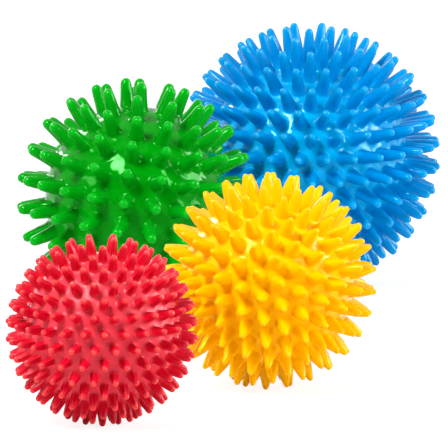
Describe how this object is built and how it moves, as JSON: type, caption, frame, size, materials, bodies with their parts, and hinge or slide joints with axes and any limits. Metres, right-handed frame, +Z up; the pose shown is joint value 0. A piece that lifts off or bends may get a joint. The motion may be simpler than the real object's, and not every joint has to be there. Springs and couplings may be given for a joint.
{
  "type": "sensory ball set",
  "caption": "Hollow soft-plastic spiky sensory balls in graded sizes and colours, each with moulded spikes and a pull-out air valve plug.",
  "frame": {"origin": "on the floor that the balls stand on, under the middle of the set's box", "axes": "+Z up, -Y towards the viewer of the picture, +Y along the set's length from the red ball to the blue one"},
  "size_m": [0.1608, 0.4234, 0.0985],
  "materials": {
    "blue_pvc": "gloss",
    "green_pvc": "gloss",
    "yellow_pvc": "gloss",
    "red_pvc": "satin",
    "valve_plug": "satin"
  },
  "bodies": {
    "blue_ball": {"blue_shell": "blue_pvc"},
    "blue_plug": {"blue_valve_plug": "valve_plug"},
    "green_ball": {"green_shell": "green_pvc"},
    "green_plug": {"green_valve_plug": "valve_plug"},
    "yellow_ball": {"yellow_shell": "yellow_pvc"},
    "yellow_plug": {"yellow_valve_plug": "valve_plug"},
    "red_ball": {"red_shell": "red_pvc"},
    "red_plug": {"red_valve_plug": "valve_plug"}
  },
  "joints": [
    {"name": "green_lift", "type": "slide", "parent": "blue_ball", "child": "green_ball", "axis": [0, 0, 1], "range_m": [0, 0.15]},
    {"name": "yellow_lift", "type": "slide", "parent": "blue_ball", "child": "yellow_ball", "axis": [0, 0, 1], "range_m": [0, 0.15]},
    {"name": "red_lift", "type": "slide", "parent": "blue_ball", "child": "red_ball", "axis": [0, 0, 1], "range_m": [0, 0.15]},
    {"name": "blue_plug_pull", "type": "slide", "parent": "blue_ball", "child": "blue_plug", "axis": [0, 0, 1], "range_m": [0, 0.02]},
    {"name": "green_plug_pull", "type": "slide", "parent": "green_ball", "child": "green_plug", "axis": [0.1732, 0.0698, 0.9824], "range_m": [0, 0.02]},
    {"name": "yellow_plug_pull", "type": "slide", "parent": "yellow_ball", "child": "yellow_plug", "axis": [0.4062, 0.0523, 0.9123], "range_m": [0, 0.02]},
    {"name": "red_plug_pull", "type": "slide", "parent": "red_ball", "child": "red_plug", "axis": [0, 0, 1], "range_m": [0, 0.02]}
  ]
}
